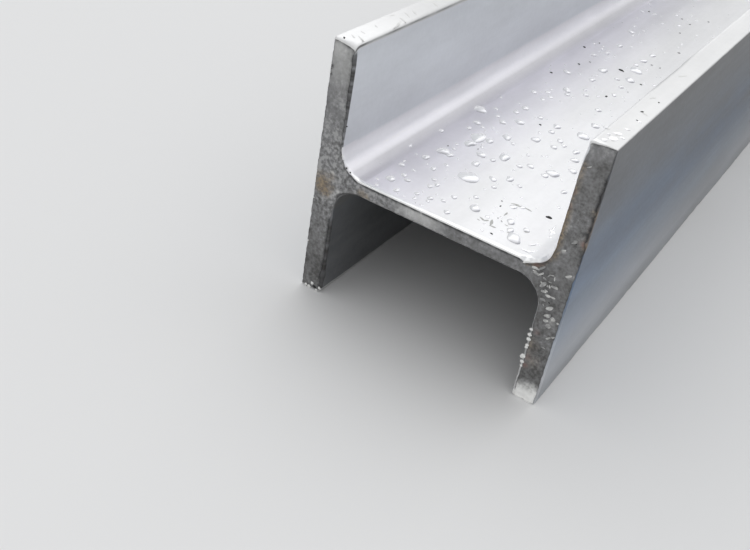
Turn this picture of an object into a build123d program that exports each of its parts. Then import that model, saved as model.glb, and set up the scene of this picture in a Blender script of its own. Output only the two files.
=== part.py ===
"""Hot-rolled wide flange steel beam: one bar of stock, lying with its web level.

Sizes are in millimetres. +X runs along the bar, +Y across it from flange to flange, and +Z is up.
The origin lies under the middle of the bar, on the plane that its lower toes rest on.
"""

import os

from build123d import *

# The rolled section
section_height = 120.0  # over the outer faces of both flanges, along Y
flange_width = 120.0  # from toe to toe, along Z
flange_thickness = 11.0
web_thickness = 6.5
root_radius = 12.0  # where the web runs into the flanges
inner_toe_radius = 2.0  # the edging rolls leave the inner corner of a toe rounder than the outer one
outer_toe_radius = 0.8

# The bar as it is sold
stock_length = 6000.0
end_edge_break = 0.6  # the burr of the saw, filed off all round both cuts

# The section is drawn about its own centre, in the plane of the first saw cut.
first_cut = Plane(
    origin=(-stock_length / 2, 0, flange_width / 2), x_dir=(0, 1, 0), z_dir=(1, 0, 0)
)

with BuildPart() as rolled_beam:
    with BuildSketch(first_cut) as section:
        # The web reaches into both flanges, which stand one flange thickness inside the full height.
        Rectangle(section_height - flange_thickness, web_thickness)
        with GridLocations(section_height - flange_thickness, 0, 2, 1):
            Rectangle(flange_thickness, flange_width)

        # From one toe line to the other, the corners lie in four rows: toes, roots, roots, toes.
        rows = section.vertices().group_by(Axis.Y)
        fillet(rows[1] + rows[2], root_radius)

        # From one flange to the other, the toes lie in four columns: outer, inner, inner, outer.
        rows = section.vertices().group_by(Axis.Y)
        columns = (rows[0] + rows[-1]).group_by(Axis.X)
        fillet(columns[1] + columns[2], inner_toe_radius)
        columns = section.vertices().group_by(Axis.X)
        fillet(columns[0] + columns[-1], outer_toe_radius)
    extrude(amount=stock_length)

    saw_cuts = rolled_beam.faces().filter_by(Axis.X)
    chamfer(saw_cuts.edges(), end_edge_break)

rolled_beam.part.label = "rolled_beam"

section_area = section.sketch.area
print(f"section area {section_area / 100:.2f} cm2, bar volume {rolled_beam.part.volume / 1e6:.3f} l")

os.makedirs("parts", exist_ok=True)
export_step(rolled_beam.part, "parts/rolled_beam.step")
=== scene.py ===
# %% [markdown]
# # A rain-wet steel beam
#
# The object is one bar of hot-rolled wide flange steel with a zinc coat, six metres long and lying
# with its web level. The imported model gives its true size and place. This notebook gives it the
# finish that a photograph of such a bar shows: satin zinc that mirrors the sky, a rough sawn end,
# beads of zinc and rain.

import math

import bpy
import numpy as np
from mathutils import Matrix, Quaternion, Vector, noise
from mathutils.geometry import delaunay_2d_cdt

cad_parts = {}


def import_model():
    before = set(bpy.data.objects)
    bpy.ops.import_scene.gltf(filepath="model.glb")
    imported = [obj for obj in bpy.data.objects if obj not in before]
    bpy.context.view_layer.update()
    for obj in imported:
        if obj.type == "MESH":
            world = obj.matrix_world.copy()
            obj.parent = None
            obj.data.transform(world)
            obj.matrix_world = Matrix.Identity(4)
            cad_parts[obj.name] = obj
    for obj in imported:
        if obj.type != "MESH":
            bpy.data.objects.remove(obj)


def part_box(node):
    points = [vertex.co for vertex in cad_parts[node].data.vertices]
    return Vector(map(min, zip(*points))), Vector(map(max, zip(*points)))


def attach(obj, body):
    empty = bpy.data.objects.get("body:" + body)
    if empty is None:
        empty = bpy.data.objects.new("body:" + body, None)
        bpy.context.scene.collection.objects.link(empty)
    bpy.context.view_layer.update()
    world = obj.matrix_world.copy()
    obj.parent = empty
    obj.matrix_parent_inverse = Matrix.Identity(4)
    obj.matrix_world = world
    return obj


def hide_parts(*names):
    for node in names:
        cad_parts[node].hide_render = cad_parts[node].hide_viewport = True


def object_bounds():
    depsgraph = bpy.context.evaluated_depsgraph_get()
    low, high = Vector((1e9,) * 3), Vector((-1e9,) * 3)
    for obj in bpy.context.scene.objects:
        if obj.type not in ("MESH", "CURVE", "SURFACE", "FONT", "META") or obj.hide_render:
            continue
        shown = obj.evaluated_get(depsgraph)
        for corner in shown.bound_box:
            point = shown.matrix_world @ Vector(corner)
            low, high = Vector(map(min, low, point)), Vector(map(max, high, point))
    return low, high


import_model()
cad_box = [list(corner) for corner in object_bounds()]
low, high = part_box("rolled_beam")
print("bar", [round(high[i] - low[i], 4) for i in range(3)], "m")

# %% [markdown]
# ## The camera
#
# The beam's section has a known size, so its photographed edges fix where the lens stood: close to
# the near end, a little to the right and above, tilted by ten degrees. A camera can be aimed with
# a constraint or by hand. Here its direction is worked out from the point that it looks at,
# because the same numbers then turn a pixel of the photograph into a place on the beam.

# %% Camera
photo_size = Vector((750, 550))
focal_pixels = 985.4
near_x, far_x = low.x, high.x
web_level = (low.z + high.z) / 2
camera_place = Vector((near_x - 0.31034, -0.13466, web_level + 0.20494))
aim_place = Vector((near_x - 0.04658, -0.00043, web_level))
camera_roll = math.radians(10.61)

sight = (aim_place - camera_place).normalized()
turn = sight.to_track_quat("-Z", "Y") @ Quaternion((0, 0, 1), camera_roll)
camera = bpy.data.objects.new("camera", bpy.data.cameras.new("camera"))
camera.location = camera_place
camera.rotation_mode = "QUATERNION"
camera.rotation_quaternion = turn
camera.data.sensor_width = 36.0
camera.data.lens = camera.data.sensor_width * focal_pixels / photo_size.x
camera.data.clip_start = 0.01
camera.data.clip_end = 1000.0
bpy.context.scene.collection.objects.link(camera)
bpy.context.scene.camera = camera
print("lens", round(camera.data.lens, 1), "mm")


def pixel_of(point):
    """The pixel of the photograph where a point of the row frame is seen."""
    local = turn.inverted() @ (Vector(point) - camera_place)
    return photo_size / 2 + Vector((local.x, -local.y)) * focal_pixels / -local.z


def on_plane(pixel, place, normal):
    """The point of a plane that is seen at a pixel of the photograph."""
    ray = turn @ Vector((pixel[0] - photo_size.x / 2, photo_size.y / 2 - pixel[1], -focal_pixels))
    share = (Vector(place) - camera_place).dot(Vector(normal)) / ray.dot(Vector(normal))
    return camera_place + ray * share


right_corners = [pixel_of((near_x, low.y, z)) for z in (low.z, high.z)]
print("right flange's outer corners at", [corner.to_tuple(1) for corner in right_corners])

# %% [markdown]
# ## Floor and light
#
# The light is an overcast sky, dim at the horizon and brighter overhead, with one broad bright
# patch high behind the beam. A large area lamp could stand for it, but a bar of six metres would
# leave its beam, so the sky is painted on the world, and lights both ends of the bar alike. The
# floor is plain and pale.


# %% Helpers for node trees
def add_node(tree, kind, sockets=None, **properties):
    """A new node of a tree, with its properties and the values of its input sockets set."""
    node = tree.nodes.new(kind)
    for name, value in properties.items():
        setattr(node, name, value)
    for name, value in (sockets or {}).items():
        node.inputs[name].default_value = value
    return node


def link(tree, value, socket):
    """Feed an input with another node's output or with a plain number."""
    if isinstance(value, (int, float)):
        socket.default_value = value
    else:
        tree.links.new(value, socket)


def calculate(tree, operation, first, second):
    """A sum, product or other operation on two outputs or numbers."""
    made = add_node(tree, "ShaderNodeMath", operation=operation)
    link(tree, first, made.inputs[0])
    link(tree, second, made.inputs[1])
    return made.outputs["Value"]


def remap(tree, value, start, end, low_value, high_value, **properties):
    """A value carried from one range to another."""
    sockets = {"From Min": start, "From Max": end, "To Min": low_value, "To Max": high_value}
    made = add_node(tree, "ShaderNodeMapRange", sockets, **properties)
    link(tree, value, made.inputs["Value"])
    return made.outputs["Result"]


def facing(tree, vector, direction):
    """How far a vector points in a direction."""
    made = add_node(tree, "ShaderNodeVectorMath", operation="DOT_PRODUCT")
    made.inputs[1].default_value = direction
    link(tree, vector, made.inputs[0])
    return made.outputs["Value"]


def new_material(name):
    """A material with an empty tree apart from its Principled shader and output."""
    material = bpy.data.materials.new(name)
    material.use_nodes = True
    tree = material.node_tree
    return material, tree, tree.nodes["Principled BSDF"]


def plain_surface(name, colour, roughness, metallic=0.0, specular=0.5):
    """A material of one colour."""
    material, _, shader = new_material(name)
    shader.inputs["Base Color"].default_value = (*colour, 1)
    shader.inputs["Roughness"].default_value = roughness
    shader.inputs["Metallic"].default_value = metallic
    shader.inputs["Specular IOR Level"].default_value = specular
    return material


# %% Sky
horizon_sky = 0.40
zenith_sky = 0.95
patch_sky = 0.75
patch_centre = Vector((0.86, 0.24, 0.50)).normalized()

world = bpy.data.worlds.new("overcast")
bpy.context.scene.world = world
world.use_nodes = True
sky = world.node_tree
sky.nodes.clear()
looking = add_node(sky, "ShaderNodeTexCoord").outputs["Generated"]
height = add_node(sky, "ShaderNodeSeparateXYZ")
sky.links.new(looking, height.inputs["Vector"])
dome = remap(sky, height.outputs["Z"], -0.05, 1.0, horizon_sky, zenith_sky)
toward = facing(sky, looking, patch_centre)
patch = remap(sky, toward, 0.35, 1.0, 0.0, patch_sky, interpolation_type="SMOOTHSTEP")
glow = add_node(sky, "ShaderNodeBackground", {"Color": (0.985, 0.992, 1.0, 1.0)})
sky.links.new(calculate(sky, "ADD", dome, patch), glow.inputs["Strength"])
sky_out = add_node(sky, "ShaderNodeOutputWorld")
sky.links.new(glow.outputs["Background"], sky_out.inputs["Surface"])
bpy.context.scene.view_settings.view_transform = "Standard"
print("sky", horizon_sky, "at the horizon,", zenith_sky, "overhead,", patch_sky, "more in its patch")

# %% Floor
floor_half = 400.0
floor_corners = [(x * floor_half, y * floor_half, 0) for x, y in ((-1, -1), (1, -1), (1, 1), (-1, 1))]
floor_mesh = bpy.data.meshes.new("floor")
floor_mesh.from_pydata(floor_corners, [], [(0, 1, 2, 3)])
floor = bpy.data.objects.new("floor", floor_mesh)
bpy.context.scene.collection.objects.link(floor)
floor_mesh.materials.append(plain_surface("pale_floor", (0.78, 0.78, 0.78), 0.9, specular=0.1))
print("floor", 2 * floor_half, "m wide")

# %% [markdown]
# ## The bar's surface
#
# The solid of the bar has the right shape, but only flat faces of six metres, and the real surface
# is never that flat: the rolls leave it slightly wavy, the toes are uneven, and the saw leaves a
# ragged rim. So the surface is modelled again over the solid, as rings of points round the section
# that are swept along the bar and pushed in by a fraction of a millimetre. A displaced subdivision
# of the solid would need millions of faces for the same relief, because its faces are so long.

# %% The section
mm = 0.001
section_depth = high.y - low.y
flange_width = high.z - low.z
flange_thickness = 11 * mm
web_thickness = 6.5 * mm
root_radius = 12 * mm
inner_toe_radius = 2 * mm
outer_toe_radius = 0.8 * mm

outer_y = section_depth / 2
inner_y = outer_y - flange_thickness
toe_z = flange_width / 2
web_z = web_thickness / 2
WEB, ROOT, INNER, TOE, OUTER = range(5)


def straight(start, end, normal, pieces, part, eased):
    """Points along a straight stretch, without its last.

    An eased end has a short step beside its arc.
    """
    start, end = np.array(start), np.array(end)
    ease = 0.5 * mm / np.linalg.norm(end - start)
    shares = np.linspace(ease * eased[0], 1 - ease * eased[1], pieces + 1)
    shares = shares if eased[1] else shares[:-1]
    shares = np.concatenate([[0.0], shares]) if eased[0] else shares
    return [(*(start + (end - start) * share), *normal, part) for share in shares]


def rounded(centre, radius, first, last, side, pieces, part):
    """Points along an arc, without its last. side is 1 where the metal is inside it, or else -1."""
    points = []
    for angle in np.radians(np.linspace(first, last, pieces + 1)[:-1]):
        ray = np.array([math.cos(angle), math.sin(angle)])
        points.append((*(np.array(centre) + radius * ray), *(side * ray), part))
    return points


def quarter_outline(pieces):
    """A quarter of the section, from the middle of the web to the middle of a flange's outer face."""
    web, root, inner, toe_arc, toe, corner, outer = pieces
    root_centre = (inner_y - root_radius, web_z + root_radius)
    inner_toe = (inner_y + inner_toe_radius, toe_z - inner_toe_radius)
    outer_toe = (outer_y - outer_toe_radius, toe_z - outer_toe_radius)
    both = (True, True)
    return [
        *straight((0, web_z), (root_centre[0], web_z), (0, 1), web, WEB, (False, True)),
        *rounded(root_centre, root_radius, -90, 0, -1, root, ROOT),
        *straight((inner_y, root_centre[1]), (inner_y, inner_toe[1]), (-1, 0), inner, INNER, both),
        *rounded(inner_toe, inner_toe_radius, 180, 90, 1, toe_arc, TOE),
        *straight((inner_toe[0], toe_z), (outer_toe[0], toe_z), (0, 1), toe, TOE, both),
        *rounded(outer_toe, outer_toe_radius, 90, 0, 1, corner, TOE),
        *straight((outer_y, outer_toe[1]), (outer_y, 0), (1, 0), outer, OUTER, (True, False)),
    ]


def section_outline(pieces):
    """The whole section as one ring: rows of (y, z, normal y, normal z, part)."""
    quarter = np.array([*quarter_outline(pieces), (outer_y, 0, 1, 0, OUTER)])
    lower_left = (quarter * (1, -1, 1, -1, 1))[::-1]
    lower_right = quarter * (-1, -1, -1, -1, 1)
    upper_right = (quarter * (-1, 1, -1, 1, 1))[::-1]
    ring = np.concatenate([quarter, lower_left, lower_right, upper_right])
    step = np.linalg.norm(ring[:, :2] - np.roll(ring[:, :2], 1, axis=0), axis=1)
    return ring[step > 0.01 * mm]


plain_ring = section_outline((10, 12, 12, 4, 4, 3, 16))
fine_ring = section_outline((40, 36, 60, 12, 12, 9, 90))
print("points round the section", len(plain_ring), "and", len(fine_ring), "beside the near cut")

# %% [markdown]
# ## Ragged rims of the saw cut
#
# A saw leaves a burr and chips, and dipping the bar in zinc afterwards rounds them into an uneven
# rim, thickest along the top of the web. Its white is a painted highlight, and the dark beside it is
# soot with painted shade. A bevel modifier would give every edge the same neat width. Here each
# point of the rings beside the cut has its own width of edge and height of rim, from smooth noise
# and from the worn places that the photograph shows. Those places are named by their pixels.


# %% Helpers for uneven edges
def span(values):
    """The lowest and highest of some numbers, to print."""
    return f"{values.min():.2f} to {values.max():.2f}"


def rough(points, grain, seed, octaves=3):
    """Smooth noise from about -1 to 1 at an array of points, with bumps about one grain across."""
    shift = Vector((17.3, 5.1, 9.7)) * seed
    places = [Vector(point) / grain + shift for point in points]
    return np.array([noise.fractal(place, 1.0, 2.0, octaves) for place in places])


def lifted(section_points, x=0.0):
    """Points (y, z) of the section as (x, y, z), with z still counted from the middle of the web."""
    return np.column_stack([np.full(len(section_points), x), section_points])


def on_cut(px, py):
    """The place (y, z) on the near cut that is seen at a pixel of the photograph."""
    point = on_plane((px, py), (near_x, 0, 0), (1, 0, 0))
    return np.array((point.y, point.z - web_level))


def past(values, start, end):
    """0 before start and 1 past end, with a smooth step between them."""
    share = np.clip((values - start) / (end - start), 0, 1)
    return share * share * (3 - 2 * share)


def before(values, start, end):
    """1 before start and 0 past end, with a smooth step between them."""
    return 1 - past(values, start, end)


def replaced(values, *changes):
    """Numbers with others in their place, as each pair of where and new numbers says."""
    for where, new_values in changes:
        values = np.where(where, new_values, values)
    return values


def spots(points, places):
    """The sum of soft spots on the near cut: (pixel x, pixel y, reach in mm, strength) for each."""
    total = np.zeros(len(points))
    for px, py, reach, strength in places:
        away = np.linalg.norm(points - on_cut(px, py), axis=1)
        total += strength * before(away, 0, reach * mm)
    return total


def soft_lines(points, lines):
    """The strongest of soft lines on the near cut, each given as (pixels, width in mm, strength)."""
    strongest = np.zeros(len(points))
    for pixels, width, strength in lines:
        corners = [on_cut(*pixel) for pixel in pixels]
        for start, end in zip(corners, corners[1:]):
            run = end - start
            share = np.clip((points - start) @ run / (run @ run), 0, 1)
            away = np.linalg.norm(points - start - share[:, None] * run, axis=1)
            strongest = np.maximum(strongest, strength * before(away, 0, width * mm))
    return strongest


# %% Helpers for the rings beside the cuts
def edge_widths(ring, seed):
    """How far the edge of a cut is broken at each point of a ring, in mm, before its worst places."""
    places, part = lifted(ring[:, :2]), ring[:, 4]
    width = 0.3 + 0.25 * rough(places, 3 * mm, seed) + 0.15 * rough(places, 1.2 * mm, seed + 1)
    return np.where(part == TOE, np.clip(width, 0.15, 0.35), np.clip(width, 0.12, 0.7))


def edge_noise(grain, seed, octaves=3):
    """Smooth noise along the fine ring. The grain is in mm."""
    return rough(lifted(fine_ring[:, :2]), grain * mm, seed, octaves)


def evened(values, reach):
    """Numbers along a ring, each replaced by the mean of those within a reach of it."""
    around = np.concatenate([values[-reach:], values, values[:reach]])
    return np.convolve(around, np.ones(2 * reach + 1) / (2 * reach + 1), "valid")


def turn_round_root(y, z):
    """How far round its root fillet a place lies, in degrees from the web. Its y and z are in mm."""
    centre_y, centre_z = 37, 15.25
    return np.degrees(np.arctan2(y - centre_y, centre_z - np.abs(z)))


# %% Parts of the fine ring
ring_yz = fine_ring[:, :2]
ring_y, ring_z = (ring_yz / mm).T
root_turn = turn_round_root(np.abs(ring_y), ring_z)
web_part, root_part, inner_part, toe_part, outer_part = (fine_ring[:, 4] == part for part in range(5))
on_left, on_top = ring_y > 0, ring_z > 0
lower_left, lower_right = on_left & ~on_top, ~on_left & ~on_top
upper_left_root = root_part & on_left & on_top
right_lip = root_part & ~on_left & on_top
upper_left_inside = inner_part & on_left & on_top
upper_right_inside = inner_part & ~on_left & on_top
lower_left_inside = (inner_part | root_part) & lower_left
lower_right_inside = inner_part & lower_right
right_outside = outer_part & ~on_left

worn_edge = upper_left_inside * past(ring_z, 10, 16) * before(ring_z, 56, 59)
dark_stretch = past(ring_z, 4, 20) * (1 - 0.8 * past(ring_z, 45, 50))
nose_share = on_top * ~on_left * past(ring_y, -57, -51) * past(ring_z, 44, 58)
even_share = web_part * on_top + upper_left_root * before(root_turn, 10, 32)
lip_share = right_lip * before(root_turn, 64, 84)
print(sum(worn_edge > 0), "points of the ring lie on the worn edge,", sum(lip_share > 0), "on the lip")

# %% Widths of the near cut's edge and heights of its rim
worn_places = [
    (345, 169, 1.8, 0.9), (341, 159, 1.5, 0.6), (350, 173, 1.2, 0.5), (353, 62, 1.4, 0.5),
    (349, 92, 1.5, 0.5), (345, 122, 1.3, 0.5), (326, 78, 1.5, 0.6), (338, 194, 5.0, 0.8),
    (524, 262, 2.6, 1.6), (538, 263, 3.0, 0.7), (611, 181, 1.8, 0.6), (605, 200, 2.0, 0.5),
    (596, 222, 1.8, 0.5), (588, 246, 1.8, 0.5), (571, 283, 3.0, 0.6), (322, 277, 5.0, 1.0),
    (326, 268, 2.0, 0.5), (520, 352, 2.0, 0.6),
]
lip_turns = [0, 3, 8, 13, 20, 30, 40, 50, 60, 72, 90]
lip_profile = [0.75, 1.0, 1.75, 1.65, 1.3, 1.15, 1.3, 1.3, 0.95, 0.35, 0.2]
lip_widths = np.interp(root_turn, lip_turns, lip_profile)
worn_widths = 0.3 + 0.55 * past(ring_z, 18, 50) + 0.3 * edge_noise(4, 7) + 0.3 * edge_noise(1.6, 9)
stepped = np.clip(np.round(3 * (0.4 + 0.9 * edge_noise(2.6, 25))) / 3, 0, 1)
dark_widths = 0.35 * past(-ring_z, -8, 8) + 0.8 * dark_stretch * stepped - 0.15 * dark_stretch

fine_width = edge_widths(fine_ring, seed=3) + spots(ring_yz, worn_places) * ~toe_part
fine_width += worn_edge * worn_widths
fine_width += lower_right_inside * past(-ring_z, 18, 34) * 0.8
fine_width += right_outside * dark_widths
fine_width += 0.6 * nose_share - 0.15 * upper_right_inside * (1 - nose_share)
fine_width += lower_left_inside * (0.1 + 0.6 * past(-ring_z, 14, 24) * (1 + 0.7 * edge_noise(3, 33)))
fine_width += even_share * (0.72 + 0.08 * edge_noise(6, 27) - fine_width)
fine_width = np.where(right_lip, lip_widths + 0.08 * edge_noise(5, 29, octaves=1), fine_width)
fine_width = np.clip(fine_width, 0.12, 2.5) * mm
fine_reach = np.where(upper_left_inside, 0.85 * evened(fine_width, 9), fine_width)

rim_noise = edge_noise(4, 11)
even_rim = on_top & (web_part | root_part) & ~upper_left_root
fine_rim = np.where(even_rim, 0.08 + 0.03 * rim_noise, 0.06 + 0.05 * rim_noise)
fine_rim = np.where(toe_part | outer_part, 0.0, np.clip(fine_rim, 0, 0.4)) * mm
print("edge of the near cut", span(fine_width / mm), "mm")

# %% How bright and how dark the edge is: the rim's painted highlight, and soot with painted shade
# This share paints a highlight along the rim of the cut.
rim_highlight_share = replaced(
    np.zeros(len(fine_ring)),
    (web_part & on_top, 1.0),
    (web_part & ~on_top, 0.8),
    (right_lip, 0.9),
    (upper_left_root, 0.3 + 0.7 * before(root_turn, 14, 40)),
    (root_part & lower_right, 0.8),
    (outer_part & on_left, 0.95),
    (right_outside, 0.22 * past(-ring_z, 10, 24)),
    (toe_part & lower_right, 1.0),
    (lower_right_inside, 0.75 + 0.25 * past(-ring_z, 34, 44)),
    (upper_left_inside, 0.3),
)
rim_highlight_share = np.maximum(rim_highlight_share, 0.9 * nose_share)
patchy = np.maximum(0.75 + 0.5 * edge_noise(3.5, 13), past(-ring_z, 36, 44))
rim_highlight_share = np.clip(rim_highlight_share * np.where(on_top & (web_part | root_part), 1.0, patchy), 0, 1)

# This darkness is soot together with painted shade under the burr and along the broken edges.
edge_soot_and_shade = replaced(
    np.zeros(len(fine_ring)),
    (web_part & on_top, 1.0),
    (upper_left_root, 0.4 + 0.5 * before(root_turn, 10, 35)),
    (right_lip, 0.2),
    (upper_left_inside, 0.38 * worn_edge),
    (lower_left_inside, 0.2 + 0.7 * past(-ring_z, 16, 26)),
    (right_outside, 1.1 * dark_stretch),
    (toe_part & on_top, 0.45),
)
edge_soot_and_shade = np.clip(edge_soot_and_shade * (0.85 + 0.8 * edge_noise(3, 17)), 0, 1)
# A darker band along the worn edge of the left flange's inner face.
worn_edge_darkening = worn_edge * np.clip(0.78 + 0.1 * past(ring_z, 20, 32) + 0.3 * edge_noise(1.7, 23), 0, 1)
bevel_soot_and_shade = np.maximum(worn_edge_darkening, edge_soot_and_shade * (outer_part | lower_left))
highlight_unshaded = 1 - np.clip(bevel_soot_and_shade * 1.5, 0, 1)
print("rim_highlight", span(rim_highlight_share), "bright and edge", span(edge_soot_and_shade), "dark")

# %% [markdown]
# ## Rings along the bar
#
# Each ring is the section pushed in along its normals by the relief of the surface. The rings
# stand close together where the camera sees them and spread towards the far end, which keeps the
# mesh light. Only the first rings are fine, and a strip of triangles joins the last fine one to
# the first plain one.

# %% Relief of the rolled surface
cut_recess = 0.45 * mm
toe_room = 0.2 * mm


def relief(points):
    """How far the rolled surface lies inside its true shape: in long waves, and more at the toes."""
    stretched = points / (3.0, 1.0, 1.0)
    waves = 0.5 + 0.5 * rough(stretched, 22 * mm, 21)
    wear = past(np.abs(points[:, 2]), 50 * mm, 60 * mm)
    dents = past(rough(points, 9 * mm, 31), 0.1, 0.75)
    return (0.10 * waves + 0.16 * wear * waves + 0.22 * wear * dents) * mm


def toe_lowering(z):
    """How much lower than the CAD the toes lie, which leaves room for drops and smears on them."""
    return toe_room * past(z, 50 * mm, 59 * mm)


def round_noses(points, beyond, drops):
    """Lower the toes by their drops, in metres, at a cut, and by less farther beyond it."""
    from_z = 49 * mm
    reach = np.maximum(1.5 * drops, 0.1 * mm)
    share = np.clip(1 - beyond / reach, 0, 1)
    drop = drops * (1 - np.sqrt(1 - share * share))
    over = np.clip(np.abs(points[:, 2]) - from_z, 0, None)
    points[:, 2] -= np.sign(points[:, 2]) * over * drop / (toe_z - from_z)


def ring_at(ring, x, inward=0.0):
    """The points of a ring at a place along the bar, pushed in by a distance and by the relief."""
    points = lifted(ring[:, :2], x)
    depth = np.clip(relief(points), 0, None) + inward
    points[:, 1:] -= ring[:, 2:4] * depth[:, None]
    points[:, 2] -= toe_lowering(points[:, 2])
    return points


across_toe = past(np.abs(ring_y), 49, 60)
top_drop = np.where(on_left, 2.2 - 1.2 * across_toe, 0.2 - 0.15 * across_toe)
nose_drop = np.where(on_top, top_drop, np.where(on_left, 0.5, 0.1))
nose_drop *= (1 + 0.15 * edge_noise(4, 19)) * mm

# %% Rings beside the near cut
bevel_angles = [0, 22, 45, 68, 90]
steps_and_rims = [
    (0.35, 1), (0.75, 0.9), (1.2, 0.7), (1.8, 0.45), (3.0, 0.15), (4.5, 0), (6.5, 0), (9.0, 0),
]
rings, ring_highlights, ring_soots_and_shades = [], [], []


def add_ring(points, rim_highlight=0.0, soot_and_shade=0.0):
    """One more ring along the bar, with its painted highlight and its soot and painted shade."""
    rings.append(points)
    ring_highlights.append(rim_highlight)
    ring_soots_and_shades.append(soot_and_shade)


def ring_beside_cut(inward, beyond):
    """The fine ring pushed in, some way beyond the near cut, with its toes rounded off."""
    points = ring_at(fine_ring, near_x, inward)
    points[:, 0] += cut_recess + beyond
    round_noses(points, beyond, nose_drop)
    return points


for angle in np.radians(bevel_angles):
    round_into, slope_into = 1 - math.sin(angle), 1 - angle / math.radians(90)
    eased = round_into + (slope_into - round_into) * lip_share
    round_beyond, slope_beyond = 1 - math.cos(angle), 1.7 * angle / math.radians(90)
    beyond = fine_reach * (round_beyond + (slope_beyond - round_beyond) * lip_share)
    # The bevel carries the rim's painted highlight, and the edge's soot with painted shade.
    bevel_highlight = rim_highlight_share * highlight_unshaded * past(math.degrees(angle), 0, 25)
    fading = 1 - 0.75 * right_outside * past(math.degrees(angle), 10, 70)
    soot_and_shade = np.maximum(edge_soot_and_shade * (angle == 0), bevel_soot_and_shade * fading)
    add_ring(ring_beside_cut(fine_width * eased - fine_rim * (1 - eased), beyond), bevel_highlight, soot_and_shade)
for step, rim_height in steps_and_rims:
    beyond = fine_reach * (1 + 0.7 * lip_share) * max(0, 1 - step / 6) + step * mm
    strip_highlight = rim_highlight_share * highlight_unshaded * before(step, 0.7, 1.8)
    add_ring(ring_beside_cut(-fine_rim * rim_height, beyond), strip_highlight)
print(len(rings), "fine rings")

# %% Rings along the rest of the bar
first_plain = near_x + 13 * mm
close_up = near_x + 0.48
close_step = 4 * mm
wider = 1.12
widest_step = 0.11
far_end = far_x - 16 * mm
far_gaps = (12 * mm, 5 * mm, 2 * mm)
places = list(np.arange(first_plain, close_up, close_step))
gap = close_step
while places[-1] + gap < far_end:
    places.append(places[-1] + gap)
    gap = min(gap * wider, widest_step)
for place in [*places[:-1], *(far_x - gap for gap in far_gaps)]:
    add_ring(ring_at(plain_ring, place))

plain_width = edge_widths(plain_ring, seed=5) * mm
# The far cut's rim carries a weaker painted highlight.
for angle in np.radians([90, 60, 30, 0]):
    ring_points = ring_at(plain_ring, far_x, plain_width * (1 - math.sin(angle)))
    ring_points[:, 0] -= cut_recess + plain_width * (1 - math.cos(angle))
    add_ring(ring_points, rim_highlight=0.4)
print(len(rings), "rings,", sum(len(points) for points in rings), "points")


# %% Skin between the rings
def zip_rings(first, second, first_start, second_start):
    """Triangles between two closed rings with different numbers of points."""
    faces, i, j = [], 0, 0
    while i < len(first) or j < len(second):
        a, next_a = i % len(first), (i + 1) % len(first)
        b, next_b = j % len(second), (j + 1) % len(second)
        step_first = np.linalg.norm(first[next_a] - second[b])
        step_second = np.linalg.norm(second[next_b] - first[a])
        if j == len(second) or (i < len(first) and step_first <= step_second):
            faces.append((first_start + a, second_start + b, first_start + next_a))
            i += 1
        else:
            faces.append((first_start + a, second_start + b, second_start + next_b))
            j += 1
    return faces


starts = np.cumsum([0] + [len(points) for points in rings])
skin_faces = []
for k in range(len(rings) - 1):
    count, a, b = len(rings[k]), starts[k], starts[k + 1]
    if count == len(rings[k + 1]):
        skin_faces += [(a + i, b + i, b + (i + 1) % count, a + (i + 1) % count) for i in range(count)]
    else:
        skin_faces += zip_rings(fine_ring[:, :2], plain_ring[:, :2], a, b)
print(len(skin_faces), "faces in the skin")

# %% [markdown]
# ## The sawn faces
#
# A sawn face is flat but never smooth: the blade's teeth, torn grain and drops of frozen zinc give
# it a relief of a tenth of a millimetre. One big face couldn't carry that, so points are strewn
# over the cut and joined with the ring round it into triangles.


# %% Faces of the cuts
def inside(points, outline):
    """True for the points inside a closed outline."""
    after = np.roll(outline, -1, axis=0)
    crossings = np.zeros(len(points), dtype=int)
    for (y0, z0), (y1, z1) in zip(outline, after, strict=True):
        spans = (points[:, 1] < z0) != (points[:, 1] < z1)
        if spans.any():
            crossings += spans & (points[:, 0] < y0 + (points[:, 1] - z0) * (y1 - y0) / (z1 - z0))
    return crossings % 2 == 1


def cut_face(outline, spacing, seed):
    """Points strewn inside an outline, and the triangles that join them to it."""
    random = np.random.default_rng(seed)
    steps = np.arange(-outer_y, outer_y, spacing)
    grid = np.stack(np.meshgrid(steps, steps), axis=-1).reshape(-1, 2)
    grid += random.uniform(-0.3, 0.3, grid.shape) * spacing
    grid = grid[inside(grid, outline)]
    apart = [np.min(np.sum((outline - point) ** 2, axis=1)) for point in grid]
    grid = grid[np.array(apart) > (0.45 * spacing) ** 2]
    corners = [Vector(point) for point in np.concatenate([outline, grid])]
    made, _, faces, origins, _, _ = delaunay_2d_cdt(corners, [], [list(range(len(outline)))], 1, 1e-7)
    assert len(made) == len(corners)
    return grid, [tuple(origins[i][0] for i in face) for face in faces]


def sawn_relief(points, seed):
    """How deep the torn face lies inside its plane."""
    coarse = 0.5 + 0.5 * rough(lifted(points), 5 * mm, seed)
    fine = 0.5 + 0.5 * rough(lifted(points), 1.6 * mm, seed + 1)
    return (0.08 * coarse + 0.12 * fine) * mm


near_outline = rings[0][:, 1:]
near_grid, near_faces = cut_face(near_outline, 0.5 * mm, seed=41)
far_outline = rings[-1][:, 1:]
far_grid, far_faces = cut_face(far_outline, 1.5 * mm, seed=43)
print(len(near_faces), "triangles on the near cut,", len(far_faces), "on the far one")
on_tip = past(-near_grid[:, 1], 50 * mm, 55 * mm) * (near_grid[:, 0] < 0)
crumple = np.clip(0.5 + 0.9 * rough(lifted(near_grid), 2.6 * mm, 57), 0, 1)
near_depth = cut_recess + sawn_relief(near_grid, 51) + (on_tip * crumple * 0.35 - on_tip * 0.15) * mm
far_depth = cut_recess + sawn_relief(far_grid, 53)

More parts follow.
